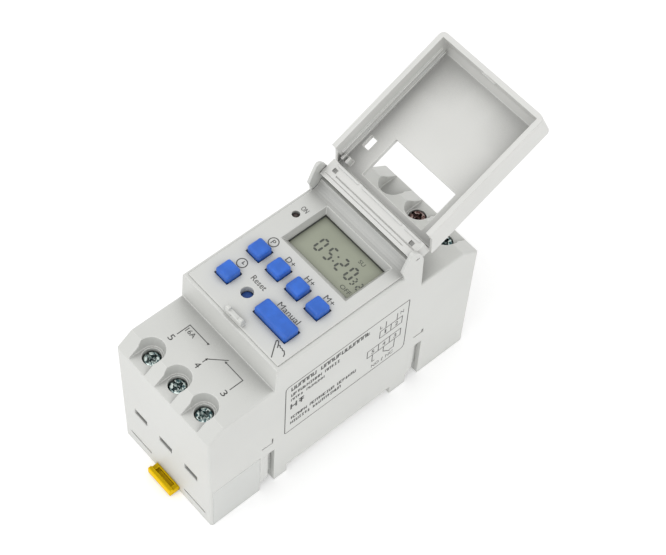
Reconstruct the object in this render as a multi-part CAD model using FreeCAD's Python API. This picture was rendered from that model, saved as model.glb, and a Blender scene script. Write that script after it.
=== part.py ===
import FreeCAD, Part
import os
from math import cos, sin, radians

os.makedirs("parts", exist_ok=True)
V = FreeCAD.Vector

# ---------------------------------------------------------------- dimensions, mm
# Axes: X across the modules, Y along the case (lid hinge at +Y), Z up.
# Origin: middle of the face that rests on the DIN rail.
W = 36.0                      # two 18 mm modules
HX = W / 2
Y_END = 44.5                  # end walls
Z_FOOT = -3.3                 # bottom of the feet
Z_STEP = 0.7                  # raised steps beside the rail recess
SEAT_HALF = 15.3              # half width of the raised land that touches the rail
SEAT_RELIEF = 0.3             # recess floor clear of the rail beside the land
Z_SHOULDER = 44.1             # terminal shoulder above the rail
Z_END_F, Z_END_R = 40.7, 40.0 # top of the front and rear end walls
Y_CH_F, Y_CH_R = -39.8, 38.8  # where the shoulder chamfers start
Y_MID_F, Y_MID_R = -23.9, 24.07
Z_RIM = 52.9                  # rim of the raised middle
Z_PANEL = 53.2                # front panel
WALL = 1.6
Z_SEAM = 14.5                 # top of the base's outer wall
REC_F, REC_R = -19.25, 17.3   # rail recess
HOOK_F = -23.5
HOOK_R = 22.9
FOOT_F, FOOT_R = -28.25, 27.5
SLOT_F, SLOT_R = (-25.3, -23.5), (25.4, 27.5)   # finger slots in the sides
Z_SLOT = 13.8

TERM_PITCH = 10.2
TERM_YF, TERM_YR = -39.6, 39.6
TERM_F = [(-TERM_PITCH, TERM_YF), (0.0, TERM_YF), (TERM_PITCH, TERM_YF)]
TERM_R = [(0.0, TERM_YR), (TERM_PITCH, TERM_YR)]
SCREW_HOLE_R = 2.5
SCREW_HEAD_R = 2.35
SCREW_R = 1.7
U_R = 3.15                    # half width of the screw recesses
Z_HEAD = 39.9                 # top of the screw heads
Z_STRIP = 17.0                # under side of the busbars the wires are clamped to

PIVOT_Y, PIVOT_Z = 21.4, 58.3
LID_OPEN = 154.0              # opening angle the parts are drawn at, degrees
LID_LEN = 45.6                # pivot to free end
LID_WALL = 1.4
LID_TOP = 62.7                # outer face when shut
LID_RIM = 53.4                # rim when shut
EAR_T = 0.9
EAR_GAP = 0.3                 # between an ear and the hinge barrel
EAR_SKIN = 0.35               # left of the ear outside the pivot pin
PIN_R = 0.8

KEY_PITCH = 7.3
COLS = [-1.5 * KEY_PITCH, -0.5 * KEY_PITCH, 0.5 * KEY_PITCH, 1.5 * KEY_PITCH]
ROW_1, ROW_2 = -4.75, -14.7
KEY_A = 4.6                   # side of a square key
KEY_TOP = 55.3
KEY_EDGE, KEY_CORNER = 0.75, 0.7   # rounding of the key tops and corners
KEY_GAP = 0.2
MANUAL_X = 7.35
MANUAL_A, MANUAL_B = 11.7, 4.7
RESET_R = 1.4
RESET_HOLE_R = 1.7
RESET_TOP = 51.2
Z_KEY_FLANGE = 49.9
Z_BOARD_TOP = 46.2
PCB_T = 1.6
Z_POWER = 8.0                 # under side of the power board

LCD_X0, LCD_X1, LCD_Y0, LCD_Y1 = -10.1, 12.15, 3.8, 16.3      # display opening
BEVEL_L, BEVEL_R, BEVEL_F, BEVEL_B = 0.75, 1.45, 1.8, 0.95    # run of the slopes round it
Z_GLASS, GLASS_T = 50.1, 2.2
Z_BEZEL = 50.95
LED_X, LED_Y, LED_R, LED_LENS_R = -13.9, 9.55, 1.3, 0.95


# ---------------------------------------------------------------- helpers
def box(x0, x1, y0, y1, z0, z1):
    return Part.makeBox(x1 - x0, y1 - y0, z1 - z0, V(x0, y0, z0))


def cyl(x, y, z0, z1, r):
    return Part.makeCylinder(r, z1 - z0, V(x, y, z0), V(0, 0, 1))


def cyl_x(y, z, x0, x1, r):
    return Part.makeCylinder(r, x1 - x0, V(x0, y, z), V(1, 0, 0))


def cyl_y(x, z, y0, y1, r):
    return Part.makeCylinder(r, y1 - y0, V(x, y0, z), V(0, 1, 0))


def prism_x(points, x0, x1):
    """Extrude a (y, z) outline along X."""
    ring = [V(x0, y, z) for y, z in points]
    return Part.Face(Part.makePolygon(ring + [ring[0]])).extrude(V(x1 - x0, 0, 0))


def prism_z(points, z0, z1):
    """Extrude an (x, y) outline along Z."""
    ring = [V(x, y, z0) for x, y in points]
    return Part.Face(Part.makePolygon(ring + [ring[0]])).extrude(V(0, 0, z1 - z0))


def level_ring(x0, x1, y0, y1, z):
    corners = [V(x0, y0, z), V(x1, y0, z), V(x1, y1, z), V(x0, y1, z)]
    return Part.makePolygon(corners + [corners[0]])


def join(shapes):
    out = shapes[0]
    if len(shapes) > 1:
        out = out.multiFuse(shapes[1:])
    return out.removeSplitter()


def edges_where(shape, test):
    return [e for e in shape.Edges if test(e)]


def round_edges(shape, radius, test):
    """Fillet the edges that pass the test; on failure keep the sharp shape."""
    picked = edges_where(shape, test)
    if not picked:
        return shape
    try:
        done = shape.makeFillet(radius, picked)
        return done if done.isValid() else shape
    except Exception:
        return shape


def along(e, axis):
    a, b = e.Vertexes[0].Point, e.Vertexes[-1].Point
    d = b - a
    n = d.Length
    return n > 1e-6 and abs(abs((d.x, d.y, d.z)[axis]) - n) < 1e-6


def save(name, shape):
    shape.exportStep("parts/%s.step" % name)


# ---------------------------------------------------------------- case
def bottom_points():
    """Underside of the case from the rear foot to the front foot."""
    return [(Y_END, Z_FOOT), (FOOT_R, Z_FOOT), (FOOT_R, Z_STEP), (HOOK_R, Z_STEP), (HOOK_R, Z_FOOT),
            (REC_R, Z_FOOT), (REC_R, SEAT_RELIEF), (SEAT_HALF, SEAT_RELIEF), (SEAT_HALF, 0.0),
            (-SEAT_HALF, 0.0), (-SEAT_HALF, SEAT_RELIEF), (REC_F, SEAT_RELIEF), (REC_F, Z_FOOT),
            (HOOK_F, Z_FOOT), (HOOK_F, Z_STEP), (FOOT_F, Z_STEP), (FOOT_F, Z_FOOT), (-Y_END, Z_FOOT)]


def ear_points():
    """Outline of a hinge ear above the raised middle, from its front foot over the top."""
    return [(16.5, 56.4), (17.55, 58.95), (18.75, 61.6), (19.05, 62.0), (19.5, 62.2), (20.1, 62.1),
            (21.0, 61.3), (22.0, 60.05), (22.9, 58.3), (23.5, 56.6)]


def make_upper_case():
    outline = [(-Y_END, Z_END_F), (Y_CH_F, Z_SHOULDER), (Y_MID_F, Z_SHOULDER), (-23.3, Z_RIM),
               (23.65, Z_RIM), (Y_MID_R, Z_SHOULDER), (Y_CH_R, Z_SHOULDER), (Y_END, Z_END_R)]
    body = prism_x(outline + bottom_points(), -HX, HX)
    body = round_edges(body, 0.7, lambda e: along(e, 2) and e.Length > 30)
    body = round_edges(body, 0.6, lambda e: abs(e.BoundBox.Center.x) > HX - 0.8 and
                       e.BoundBox.ZMin > 39 and e.BoundBox.YMax - e.BoundBox.YMin > 3)
    ears = []
    ear = [(17.6, Z_RIM - 0.7), (17.35, 54.3)] + ear_points() + [(23.68, Z_RIM - 0.7)]
    for x0 in (-HX, HX - EAR_T):
        ears.append(prism_x(ear, x0, x0 + EAR_T))
    body = join([body] + ears)
    # hollow inside
    inner = [(-Y_END + WALL, -4.0), (-Y_END + WALL, 38.9), (-33.0, 38.9), (-33.0, 42.5), (-22.1, 42.5),
             (-22.0, 50.6), (22.2, 50.6), (22.4, 42.5), (33.0, 42.5), (33.0, 38.3),
             (Y_END - WALL, 38.3), (Y_END - WALL, -4.0)]
    body = body.cut(prism_x(inner, -HX + WALL, HX - WALL))
    # seat of the front panel
    body = body.cut(box(-17.04, 17.04, -22.44, 22.3, 50.5, 70.0))
    # the base's own outer wall stands here
    for s in (-1, 1):
        body = body.cut(box(min(s * 16.3, s * 19), max(s * 16.3, s * 19), -Y_END + 0.8, FOOT_F,
                            -5.0, Z_SEAM))
    # screw recesses, open towards the end walls, and the screw holes with their guides
    cuts, bosses = [], []
    for x, y in TERM_F + TERM_R + [(-TERM_PITCH, TERM_YR)]:
        s = -1 if y < 0 else 1
        floor = Z_END_F if y < 0 else Z_END_R
        end = s * (Y_END + 1)
        cuts.append(cyl(x, y, floor, 46.0, U_R))
        cuts.append(box(x - U_R, x + U_R, min(y, end), max(y, end), floor, 46.0))
        cone = Part.makeCone(U_R, U_R + 0.9, 46.0 - floor, V(x, y, floor), V(0, 0, 1))
        cuts.append(cone)
    for x, y in TERM_F + TERM_R:
        bosses.append(cyl(x, y, 35.4, 39.4, 3.9))
    body = join([body] + bosses)
    for c in cuts:
        body = body.cut(c)
    for x, y in TERM_F + TERM_R:
        body = body.cut(cyl(x, y, 37.4, 42.0, SCREW_HOLE_R))
        body = body.cut(cyl(x, y, 34.0, 38.0, SCREW_R + 0.25))
    # wire entries and slots of the end walls
    for x in (-TERM_PITCH, 0.0, TERM_PITCH):
        body = body.cut(box(x - 2.6, x + 2.6, -Y_END - 1, -Y_END + WALL + 0.5, 14.2, 16.8))
        body = body.cut(box(x - 2.6, x + 2.6, Y_END - WALL - 0.5, Y_END + 1, 14.2, 16.8))
    for s in (-1, 1):
        for e in (-1, 1):
            body = body.cut(box(s * 11.2 - 4.4, s * 11.2 + 4.4, e * Y_END - 1.1, e * Y_END + 1.1, 0.35, 1.35))
    # mouth for the rail clip
    body = body.cut(box(-4.75, 4.75, -Y_END - 1, -Y_END + WALL + 0.2, -4.0, -0.85))
    # finger slots through the side walls, each with a shallow ramp, and the thin marks above them
    for s in (-1, 1):
        f, a, b, c = s * (HX + 0.2), s * HX, s * (HX - 0.45), s * (HX - WALL - 0.04)
        for y0, y1 in (SLOT_F, SLOT_R):
            ramp = [(f, y0 - 2.2), (a, y0 - 2.2), (b, y0), (c, y0), (c, y1), (f, y1)]
            body = body.cut(prism_z(ramp, -4.0 if y1 > 0 else Z_STEP - 1.0, Z_SLOT))
        x0, x1 = min(f, s * (HX - 1.1)), max(f, s * (HX - 1.1))
        body = body.cut(prism_x([(-27.7, 18.65), (-24.5, 18.3), (-24.45, 20.4), (-24.0, 20.4),
                                 (-24.1, 17.85), (-27.7, 18.15)], x0, x1))
        body = body.cut(prism_x([(24.1, 19.0), (26.8, 18.75), (26.9, 19.9), (27.6, 19.8),
                                 (27.5, 18.2), (24.1, 18.5)], x0, x1))
    # blind pivot holes, each seen from outside through a short slot
    body = body.cut(cyl_x(PIVOT_Y, PIVOT_Z, -HX + EAR_SKIN, HX - EAR_SKIN, PIN_R + 0.06))
    body = body.cut(box(-HX - 1, HX + 1, PIVOT_Y - 0.55, PIVOT_Y + 0.55, PIVOT_Z - 0.25, PIVOT_Z + 0.25))
    return body


def make_base():
    pts = bottom_points()
    pts = [(min(y, Y_END - WALL - 0.05), z) if y > 40 else (max(y, -Y_END + WALL + 0.05), z) for y, z in pts]
    pts = pts + [(-Y_END + WALL + 0.05, Z_SEAM - 0.1), (Y_END - WALL - 0.05, Z_SEAM - 0.1)]
    base = prism_x(pts, -HX + WALL + 0.05, HX - WALL - 0.05)
    side = [(-Y_END + WALL + 0.05, Z_FOOT), (FOOT_F - 0.05, Z_FOOT), (FOOT_F - 0.05, Z_SEAM - 0.1),
            (-Y_END + WALL + 0.05, Z_SEAM - 0.1)]
    corners = [box(x, x + HX - 16.35, -Y_END + 0.85, -Y_END + WALL + 0.1, Z_FOOT, Z_SEAM - 0.1)
               for x in (-HX, 16.35)]
    base = join([base, prism_x(side, -HX, HX)] + corners)
    base = base.cut(box(-14.9, 14.9, -41.4, 41.4, 1.7, 20.0))
    # low end walls behind the wire entries
    base = base.cut(box(-14.9, 14.9, -44.0, -41.0, 11.0, 20.0))
    base = base.cut(box(-14.9, 14.9, 41.0, 44.0, 11.0, 20.0))
    # feet are open pockets underneath
    for s in (-1, 1):
        x0, x1 = min(s * 6.6, s * 14.9), max(s * 6.6, s * 14.9)
        base = base.cut(box(x0, x1, -41.4, -29.8, -4.0, 0.2))
    for x0, x1 in ((-14.9, -5.6), (-4.4, 4.4), (5.6, 14.9)):
        base = base.cut(box(x0, x1, 29.8, 41.4, -4.0, 0.2))
    # fixed lips that hold the rail's rear edge
    base = join([base, prism_x([(REC_R, Z_FOOT), (REC_R, -1.15), (15.6, -1.15), (16.2, -2.9)], -13.0, 13.0)])
    # T channel of the rail clip
    base = base.cut(box(-4.5, 4.5, -44.0, REC_F + 0.01, -4.0, -1.0))
    base = base.cut(box(-5.5, 5.5, -42.0, REC_F + 0.01, -2.0, -1.0))
    # partitions between the terminals
    for s, y0, y1 in ((-1, -41.4, -34.5), (1, 34.5, 41.4)):
        for x in (-TERM_PITCH / 2, TERM_PITCH / 2):
            base = join([base, box(x - 0.5, x + 0.5, y0, y1, 1.7, 24.0)])
    # posts that carry the two boards
    for x in (-13.2, 13.2):
        for y in (-29.0, 29.0):
            base = join([base, cyl(x, y, 1.0, Z_POWER, 1.6)])
    return base


def make_rail_clip():
    body = box(-4.4, 4.4, -43.0, -18.6, -2.9, -1.1)
    wings = box(-5.4, 5.4, -39.4, -20.0, -1.9, -1.1)
    tongue = prism_x([(-18.7, -1.12), (-16.9, -1.12), (-16.9, -1.6), (-18.0, -2.9), (-18.7, -2.9)],
                     -4.0, 4.0)
    tab = box(-4.55, 4.55, -47.6, -43.0, -2.9, -1.1)
    lip = box(-4.55, 4.55, -47.6, -46.5, -2.9, -0.3)
    clip = join([body, wings, tongue, tab, lip])
    clip = clip.cut(box(-3.3, 3.3, -46.2, -44.9, -2.4, -0.5))
    clip = round_edges(clip, 0.3, lambda e: along(e, 0) and e.BoundBox.YMax < -47.5)
    clip = clip.cut(box(-2.6, -1.8, -36.0, -22.0, -3.5, 0))
    clip = clip.cut(box(1.8, 2.6, -36.0, -22.0, -3.5, 0))
    return clip


# ---------------------------------------------------------------- front panel
def make_front_panel():
    plate = box(-17.0, 17.0, -22.4, 21.6, 51.0, Z_PANEL)
    plate = round_edges(plate, 0.3, lambda e: e.BoundBox.ZMin > Z_PANEL - 0.05 and e.BoundBox.YMax < 21.5)
    # concave ramp that rises towards the lid hinge
    cy, cz, r = 17.6, Z_PANEL + 2.9, 2.9
    arc = [(cy + r * sin(radians(a)), cz - r * cos(radians(a))) for a in range(0, 76, 15)]
    ramp = prism_x([(17.6, Z_PANEL - 1.0)] + arc + [(21.2, arc[-1][1]), (21.2, Z_PANEL - 1.0)], -17.0, 17.0)
    skirt = box(-16.3, 16.3, -21.9, 22.0, 48.6, 51.0).cut(box(-15.3, 15.3, -20.9, 21.0, 48.0, 51.0))
    skirt = skirt.common(box(-17, 17, -22, 21.6, 48, 52))
    panel = join([plate, ramp, skirt])
    # display window, sloped all round down to the bezel
    low = level_ring(LCD_X0, LCD_X1, LCD_Y0, LCD_Y1, 51.0)
    high = level_ring(LCD_X0 - BEVEL_L, LCD_X1 + BEVEL_R, LCD_Y0 - BEVEL_F, LCD_Y1 + BEVEL_B, Z_PANEL)
    panel = panel.cut(Part.makeLoft([low, high], True, True))
    panel = panel.cut(box(LCD_X0, LCD_X1, LCD_Y0, LCD_Y1, 50.0, 51.2))
    for x, y in [(COLS[0], ROW_1), (COLS[1], ROW_1), (COLS[2], ROW_1), (COLS[3], ROW_1), (COLS[0], ROW_2)]:
        a = KEY_A / 2 + KEY_GAP
        panel = panel.cut(box(x - a, x + a, y - a, y + a, 50.0, 54.0))
    a, b = MANUAL_A / 2 + KEY_GAP, MANUAL_B / 2 + KEY_GAP
    panel = panel.cut(box(MANUAL_X - a, MANUAL_X + a, ROW_2 - b, ROW_2 + b, 50.0, 54.0))
    panel = panel.cut(cyl(COLS[1], ROW_2, 50.0, 54.0, RESET_HOLE_R))
    panel = panel.cut(cyl(LED_X, LED_Y, 50.0, 54.0, 1.1))
    # upright nose the lid latches on, notched between two horns and pierced
    nose = prism_x([(-22.3, Z_PANEL - 0.5), (-22.35, Z_PANEL + 1.3), (-22.0, Z_PANEL + 2.2),
                    (-21.3, Z_PANEL + 2.2), (-20.7, Z_PANEL - 0.5)], -2.9, 3.0)
    nose = nose.cut(box(-1.7, 1.8, -23.0, -20.0, Z_PANEL + 1.5, Z_PANEL + 3.0))
    nose = nose.cut(cyl_y(-0.7, Z_PANEL + 0.85, -23.0, -21.8, 0.35))
    panel = join([panel, nose])
    return panel


# ---------------------------------------------------------------- lid
def lid_turn(shape):
    """Turn a piece drawn with the lid shut to the open position."""
    out = shape.copy()
    out.rotate(V(0, PIVOT_Y, PIVOT_Z), V(1, 0, 0), -LID_OPEN)
    return out


def make_lid():
    y0 = PIVOT_Y - LID_LEN
    # outline of the shell seen from the side, with the slanted ends beside the ears
    side = [(y0, LID_RIM), (y0, LID_TOP), (17.2, LID_TOP), (17.75, 62.4), (17.95, 61.75),
            (15.65, 56.4), (15.65, LID_RIM)]
    shell = prism_x(side, -HX, HX)
    shell = round_edges(shell, 1.6, lambda e: along(e, 2) and e.BoundBox.YMax < y0 + 0.1)
    shell = round_edges(shell, 0.7, lambda e: e.BoundBox.ZMin > LID_TOP - 0.1 and e.BoundBox.YMax < 17.3 and
                        (abs(e.BoundBox.Center.x) > HX - 2 or e.BoundBox.YMax < y0 + 1))
    # curved hinge end that fills the gap between the ears
    mid = [(17.0, LID_TOP), (19.6, LID_TOP), (20.3, 62.35), (21.3, 61.4), (22.2, 60.1), (22.75, 58.9),
           (22.75, 57.3), (17.6, 57.3), (17.6, 61.3), (17.0, 61.3)]
    barrel = prism_x(mid, -HX + EAR_T + EAR_GAP, HX - EAR_T - EAR_GAP)
    # tray
    shell = shell.cut(box(-HX + LID_WALL, HX - LID_WALL, y0 + LID_WALL, 17.3, 50.0, LID_TOP - 1.5))
    shell = shell.cut(box(-HX + EAR_T, HX - EAR_T, 15.8, 17.4, 50.0, LID_TOP - 1.5))
    # sloped foot of the free end wall and two long ribs on each side wall
    foot = prism_x([(y0 + 1.3, LID_TOP - 1.4), (y0 + 3.0, LID_TOP - 1.4), (y0 + 1.3, 58.6)],
                   -HX + LID_WALL - 0.1, HX - LID_WALL + 0.1)
    ribs = [box(s * (HX - LID_WALL - 0.2) - 0.3, s * (HX - LID_WALL - 0.2) + 0.3, y0 + 3, 15.0, z, z + h)
            for s in (-1, 1) for z, h in ((57.2, 0.4), (59.6, 0.6))]
    # catch for the panel's nose
    catch = prism_x([(y0 + 1.3, 54.4), (y0 + 1.75, 54.5), (y0 + 1.75, 54.9), (y0 + 1.3, 55.6)], -2.6, 2.0)
    lid = join([shell, barrel, foot, catch] + ribs)
    # windows over the display and over the indicator
    lid = lid.cut(box(-10.0, 12.0, 3.3, 15.55, 60.0, 64.0))
    lid = lid.cut(box(-15.6, -13.4, 6.8, 10.1, 60.0, 64.0))
    # narrow beads beside the hinge bar and two small posts at one end of it
    beads = [box(a, b, 17.9, 18.3, 57.05, 57.5) for a, b in ((-14.5, -7.0), (-5.5, 9.0), (10.2, 15.6))]
    posts = [box(x, x + 0.7, 14.6, 16.4, 58.6, LID_TOP - 1.3) for x in (-16.3, -14.7)]
    lid = join([lid] + beads + posts)
    # square notches and the long grooves of the hinge bar
    for s in (-1, 1):
        lid = lid.cut(box(s * 14.2 - 0.7, s * 14.2 + 0.7, 19.1, 20.3, 56.0, 58.2))
    lid = lid.cut(box(-13.0, 16.0, 20.4, 20.8, 57.0, 57.6))
    lid = lid.cut(box(-16.0, 13.0, 21.5, 21.8, 57.0, 57.5))
    # pivot pins
    tip, root = HX - EAR_SKIN - 0.05, HX - EAR_T - 0.8
    lid = join([lid, cyl_x(PIVOT_Y, PIVOT_Z, -tip, -root, PIN_R), cyl_x(PIVOT_Y, PIVOT_Z, root, tip, PIN_R)])
    for x0, x1 in ((-tip - 1, -root), (root, tip + 1)):
        lid = lid.cut(cyl_x(PIVOT_Y, PIVOT_Z, x0, x1, 0.6))
    return lid_turn(lid)


# ---------------------------------------------------------------- keys
def make_key(x, y, a, b):
    cap = box(x - a / 2, x + a / 2, y - b / 2, y + b / 2, Z_KEY_FLANGE + 0.9, KEY_TOP)
    cap = round_edges(cap, KEY_CORNER, lambda e: along(e, 2))
    cap = round_edges(cap, KEY_EDGE, lambda e: e.BoundBox.ZMin > KEY_TOP - 0.05)
    flange = box(x - a / 2 - 0.6, x + a / 2 + 0.6, y - b / 2 - 0.6, y + b / 2 + 0.6,
                 Z_KEY_FLANGE, Z_KEY_FLANGE + 1.0)
    stem = box(x - a / 2 + 0.9, x + a / 2 - 0.9, y - b / 2 + 0.9, y + b / 2 - 0.9, 47.15, Z_KEY_FLANGE + 0.1)
    return join([cap, flange, stem])


def make_reset_key():
    x, y = COLS[1], ROW_2
    cap = cyl(x, y, Z_KEY_FLANGE + 0.9, RESET_TOP, RESET_R)
    flange = cyl(x, y, Z_KEY_FLANGE, Z_KEY_FLANGE + 1.0, 2.3)
    stem = cyl(x, y, 47.15, Z_KEY_FLANGE + 0.1, 1.2)
    return join([cap, flange, stem])


def make_keypad_mat():
    mat = box(-15.6, 15.6, -19.4, -0.6, Z_BOARD_TOP, Z_BOARD_TOP + 0.6)
    for x, y in [(c, ROW_1) for c in COLS] + [(COLS[0], ROW_2), (COLS[1], ROW_2)]:
        mat = mat.cut(box(x - 1.8, x + 1.8, y - 1.8, y + 1.8, 45.0, 48.0))
    return mat.cut(box(MANUAL_X - 5.4, MANUAL_X + 5.4, ROW_2 - 1.9, ROW_2 + 1.9, 45.0, 48.0))


def make_key_contacts():
    pads = [box(c - 1.2, c + 1.2, ROW_1 - 1.2, ROW_1 + 1.2, Z_BOARD_TOP, Z_BOARD_TOP + 0.06) for c in COLS]
    for x in (COLS[0], COLS[1], MANUAL_X):
        pads.append(box(x - 1.2, x + 1.2, ROW_2 - 1.2, ROW_2 + 1.2, Z_BOARD_TOP, Z_BOARD_TOP + 0.06))
    return Part.makeCompound(pads)


# ---------------------------------------------------------------- display
def glass_box(clear=0.0):
    return box(LCD_X0 - 1.3 - clear, LCD_X1 + 1.2 + clear, LCD_Y0 - 1.8 - clear, LCD_Y1 + 2.0 + clear,
               Z_GLASS - GLASS_T, Z_GLASS + clear)


def make_lcd_frame():
    ring = box(LCD_X0 - 2.0, LCD_X1 + 1.8, LCD_Y0 - 2.6, LCD_Y1 + 2.8, Z_BOARD_TOP, Z_BEZEL)
    ring = ring.cut(glass_box(0.05))
    ring = ring.cut(box(LCD_X0, LCD_X1, LCD_Y0, LCD_Y1, Z_GLASS, Z_BEZEL + 1))
    return ring.cut(box(LCD_X0 - 1.0, LCD_X1 + 0.6, LCD_Y0 - 1.85, LCD_Y1 + 2.05,
                        Z_BOARD_TOP - 1, Z_GLASS - GLASS_T + 0.1))


def make_zebra_strips():
    strips = [box(LCD_X0 - 0.9, LCD_X1 + 0.5, y - 0.9, y + 0.9, Z_BOARD_TOP, Z_GLASS - GLASS_T)
              for y in (LCD_Y0 - 0.8, LCD_Y1 + 1.0)]
    return Part.makeCompound(strips)


def make_led():
    flange = cyl(LED_X, LED_Y, 47.4, 47.9, LED_R + 0.2)
    body = cyl(LED_X, LED_Y, 47.4, 49.9, LED_R)
    # narrower lens that stands in the panel's hole
    lens = cyl(LED_X, LED_Y, 49.8, 51.8, LED_LENS_R)
    dome = Part.makeSphere(LED_LENS_R, V(LED_X, LED_Y, 51.8))
    legs = [box(LED_X + s * 0.9 - 0.2, LED_X + s * 0.9 + 0.2, LED_Y - 0.2, LED_Y + 0.2, Z_BOARD_TOP, 47.5)
            for s in (-1, 1)]
    return join([flange, body, lens, dome] + legs)


# ---------------------------------------------------------------- electronics
def make_control_board():
    board = box(-16.2, 16.2, -21.3, 21.3, Z_BOARD_TOP - PCB_T, Z_BOARD_TOP)
    for i in range(8):
        y = -15.0 + 2.54 * i
        board = board.cut(box(-0.12, 0.52, y - 0.32, y + 0.32, 40.0, 47.0))
    return board


def make_power_board():
    board = box(-14.8, 14.8, -32.0, 32.0, Z_POWER, Z_POWER + PCB_T)
    for i in range(8):
        y = -15.0 + 2.54 * i
        board = board.cut(box(-0.12, 0.52, y - 0.32, y + 0.32, 5.0, 12.0))
    return board


def make_board_link():
    pins = []
    for i in range(8):
        y = -15.0 + 2.54 * i
        pins.append(box(-0.12, 0.52, y - 0.32, y + 0.32, Z_POWER - 1.0, Z_BOARD_TOP))
    bars = [box(-1.07, 1.47, -16.4, 4.2, z, z + 2.5) for z in (Z_POWER + PCB_T, Z_BOARD_TOP - PCB_T - 2.5)]
    return join(pins + bars)


def make_controller_chip():
    chip = box(-10.0, -3.0, -12.0, -5.0, Z_BOARD_TOP - PCB_T - 1.5, Z_BOARD_TOP - PCB_T - 0.2)
    leads = []
    for i in range(8):
        t = 0.8 * i - 2.8
        leads.append(box(-11.0, -2.0, -8.5 + t - 0.15, -8.5 + t + 0.15, 43.6, 44.6))
    return join([chip] + leads)


def make_crystal():
    return cyl_x(-2.5, Z_BOARD_TOP - PCB_T - 1.55, -12.0, -6.0, 1.5)


def make_relay():
    return round_edges(box(2.0, 14.6, -27.0, 2.0, Z_POWER + PCB_T, Z_POWER + PCB_T + 15.7), 0.6,
                       lambda e: along(e, 2))


def make_x2_capacitor():
    return round_edges(box(-14.0, -7.0, -26.0, -8.0, Z_POWER + PCB_T, Z_POWER + PCB_T + 13.0), 0.7,
                       lambda e: along(e, 2))


def make_electrolytics():
    z0 = Z_POWER + PCB_T
    return Part.makeCompound([cyl(-9.6, -2.4, z0, z0 + 12.5, 4.0), cyl(-9.6, 6.8, z0, z0 + 12.5, 4.0)])


def make_backup_battery():
    z0 = Z_POWER + PCB_T
    cell = cyl(-7.6, 19.4, z0, z0 + 5.6, 6.4)
    return join([cell, cyl(-7.6, 19.4, z0 + 5.5, z0 + 6.1, 4.0)])


def make_varistor():
    return join([cyl_y(8.2, Z_POWER + PCB_T + 5.4, 17.0, 20.6, 4.8),
                 box(5.6, 6.2, 18.5, 19.1, Z_POWER + PCB_T, 14.0),
                 box(10.2, 10.8, 18.5, 19.1, Z_POWER + PCB_T, 14.0)])


def make_resistors():
    out = []
    for i in range(4):
        y = 6.0 + 2.9 * i
        out.append(join([cyl_x(y, Z_POWER + PCB_T + 1.2, 4.0, 11.0, 1.15),
                         cyl_x(y, Z_POWER + PCB_T + 1.2, 2.6, 12.4, 0.3)]))
    return Part.makeCompound(out)


# ---------------------------------------------------------------- terminals
def make_strips(places):
    out = []
    for x, y in places:
        s = -1 if y < 0 else 1
        y_out, y_in = y + s * 2.6, y - s * 8.4
        flat = box(x - 2.2, x + 2.2, min(y_out, y_in), max(y_out, y_in), Z_STRIP, Z_STRIP + 1.0)
        y_a, y_b = y_in, y_in + s * 0.9
        leg = box(x - 2.2, x + 2.2, min(y_a, y_b), max(y_a, y_b), Z_POWER + PCB_T, Z_STRIP + 0.5)
        out.append(join([flat, leg]))
    return Part.makeCompound(out)


def make_cage(x, y):
    cage = box(x - 3.9, x + 3.9, y - 2.9, y + 2.9, 11.9, 22.4)
    cage = cage.cut(box(x - 3.1, x + 3.1, y - 4.0, y + 4.0, 13.6, 20.0))
    cage = cage.cut(cyl(x, y, 19.0, 24.0, SCREW_R + 0.06))
    return cage


def make_screw(x, y):
    head = cyl(x, y, Z_HEAD - 2.3, Z_HEAD, SCREW_HEAD_R)
    head = round_edges(head, 0.6, lambda e: e.BoundBox.ZMin > Z_HEAD - 0.05)
    screw = join([head, cyl(x, y, Z_STRIP + 1.06, Z_HEAD - 2.2, SCREW_R)])
    # combined slot and cross drive, tapered towards its middle
    screw = screw.cut(box(x - 2.6, x + 2.6, y - 0.4, y + 0.4, Z_HEAD - 0.9, Z_HEAD + 1))
    screw = screw.cut(box(x - 0.4, x + 0.4, y - 1.6, y + 1.6, Z_HEAD - 1.1, Z_HEAD + 1))
    return screw.cut(Part.makeCone(0.35, 1.15, 1.6, V(x, y, Z_HEAD - 1.6), V(0, 0, 1)))


# ---------------------------------------------------------------- write every piece
save("upper_case", make_upper_case())
save("base_housing", make_base())
save("front_panel", make_front_panel())
save("lid_cover", make_lid())
save("rail_clip", make_rail_clip())

KEYS = {"program_key": COLS[0], "day_key": COLS[1], "hour_key": COLS[2], "minute_key": COLS[3]}
for name, col in KEYS.items():
    save(name, make_key(col, ROW_1, KEY_A, KEY_A))
save("clock_key", make_key(COLS[0], ROW_2, KEY_A, KEY_A))
save("manual_key", make_key(MANUAL_X, ROW_2, MANUAL_A, MANUAL_B))
save("reset_key", make_reset_key())
save("keypad_mat", make_keypad_mat())
save("key_contacts", make_key_contacts())

save("lcd_glass", glass_box())
save("lcd_frame", make_lcd_frame())
save("zebra_strips", make_zebra_strips())
save("indicator_led", make_led())

save("control_board", make_control_board())
save("power_board", make_power_board())
save("board_link", make_board_link())
save("controller_chip", make_controller_chip())
save("clock_crystal", make_crystal())
save("relay", make_relay())
save("x2_capacitor", make_x2_capacitor())
save("electrolytics", make_electrolytics())
save("backup_battery", make_backup_battery())
save("varistor", make_varistor())
save("resistors", make_resistors())

save("output_strips", make_strips(TERM_F))
save("supply_strips", make_strips(TERM_R))
for number, (x, y) in zip((5, 4, 3), TERM_F):
    save("screw_%d" % number, make_screw(x, y))
    save("cage_%d" % number, make_cage(x, y))
for number, (x, y) in zip((2, 1), TERM_R):
    save("screw_%d" % number, make_screw(x, y))
    save("cage_%d" % number, make_cage(x, y))
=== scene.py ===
import random
from math import cos, radians, sin

import bmesh
import bpy
from mathutils import Matrix, Quaternion, Vector


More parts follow.
